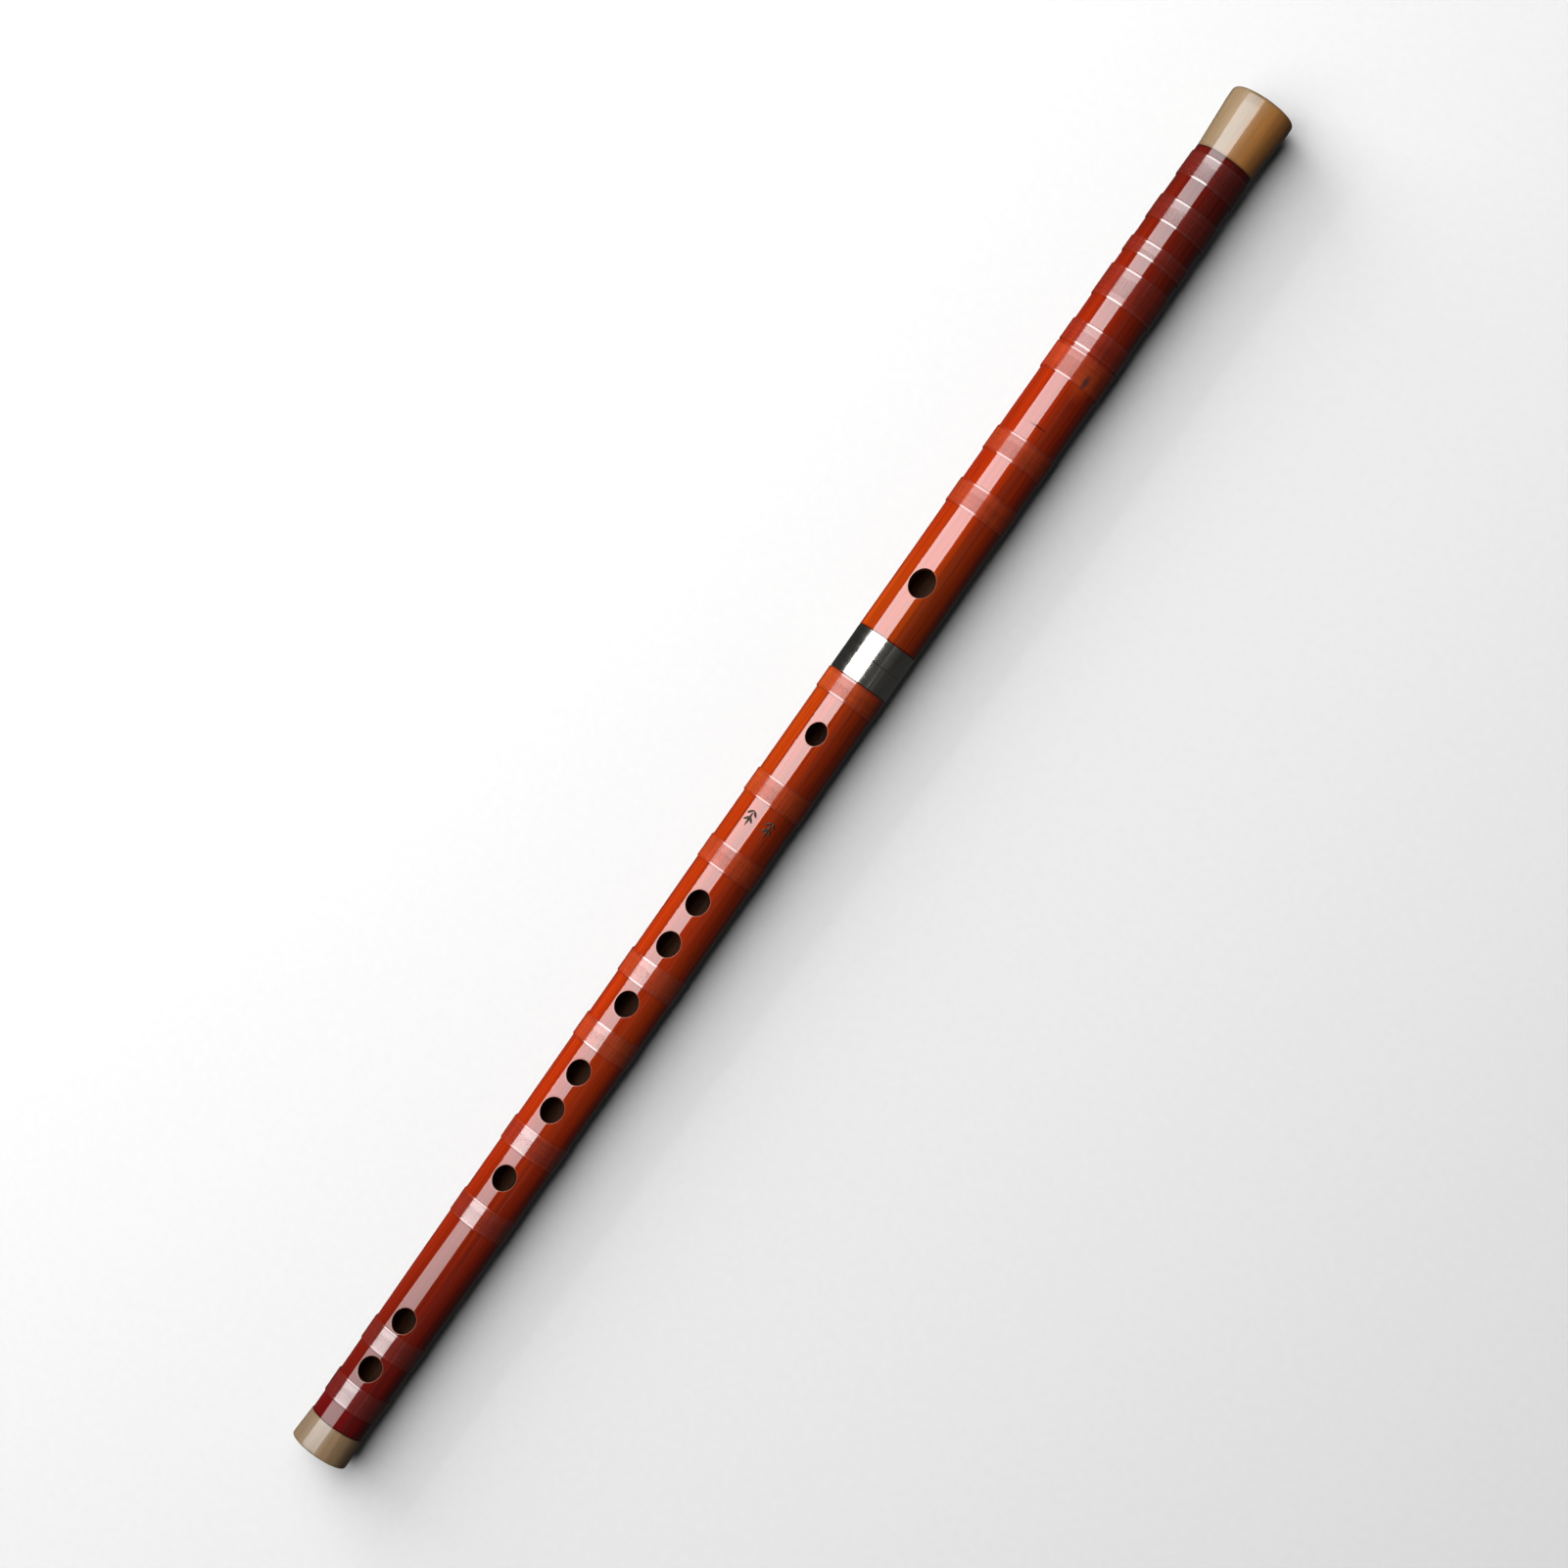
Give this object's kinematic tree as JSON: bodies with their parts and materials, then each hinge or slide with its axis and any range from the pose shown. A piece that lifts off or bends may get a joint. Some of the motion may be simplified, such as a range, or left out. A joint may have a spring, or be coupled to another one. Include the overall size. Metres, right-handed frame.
{
  "type": "transverse bamboo flute",
  "caption": "Sectional transverse bamboo flute with a metal tenon joint, thread bindings, horn end caps, blow hole, membrane hole, finger holes and an inner tuning cork.",
  "frame": {"origin": "under the middle of the flute's length and width, level with the lowest point of the head cap's rim", "axes": "+X along the bore from the head end to the foot end, +Z out through the blow hole and the finger holes, +Y across the flute"},
  "size_m": [0.62, 0.027, 0.027],
  "materials": {
    "lacquered_bamboo": "glossy red-brown lacquer over bamboo",
    "pale_horn": "polished pale tan horn",
    "grey_horn": "polished grey-beige horn",
    "lacquered_thread": "fine thread wound close and lacquered over",
    "polished_nickel": "polished nickel plate",
    "drawn_brass": "drawn brass tube",
    "cork": "plain cork"
  },
  "bodies": {
    "body": {"body_tube": "lacquered_bamboo", "foot_cap": "grey_horn", "body_ferrule": "polished_nickel", "socket_tube": "drawn_brass", "body_binding_1": "lacquered_thread", "body_binding_2": "lacquered_thread", "body_binding_3": "lacquered_thread", "body_binding_4": "lacquered_thread", "body_binding_5": "lacquered_thread", "body_binding_6": "lacquered_thread", "body_binding_7": "lacquered_thread", "body_binding_8": "lacquered_thread", "body_binding_9": "lacquered_thread"},
    "tenon": {"tenon_tube": "drawn_brass"},
    "head": {"head_tube": "lacquered_bamboo", "head_cap": "pale_horn", "head_ferrule": "polished_nickel", "head_binding_1": "lacquered_thread", "head_binding_2": "lacquered_thread", "head_binding_3": "lacquered_thread", "head_binding_4": "lacquered_thread", "head_binding_5": "lacquered_thread", "head_binding_6": "lacquered_thread", "head_binding_7": "lacquered_thread", "head_binding_8": "lacquered_thread"},
    "stopper": {"cork_stopper": "cork"}
  },
  "joints": [
    {"name": "tuning_slide", "type": "slide", "parent": "body", "child": "tenon", "axis": [-1, 0, 0], "range_m": [0, 0.022]},
    {"name": "head_turn", "type": "hinge", "parent": "tenon", "child": "head", "pos_m": [-0.0534, 0, 0.0135], "axis": [1, 0, 0], "continuous": true},
    {"name": "cork_slide", "type": "slide", "parent": "head", "child": "stopper", "axis": [1, 0, 0], "range_m": [-0.01, 0.003]}
  ]
}
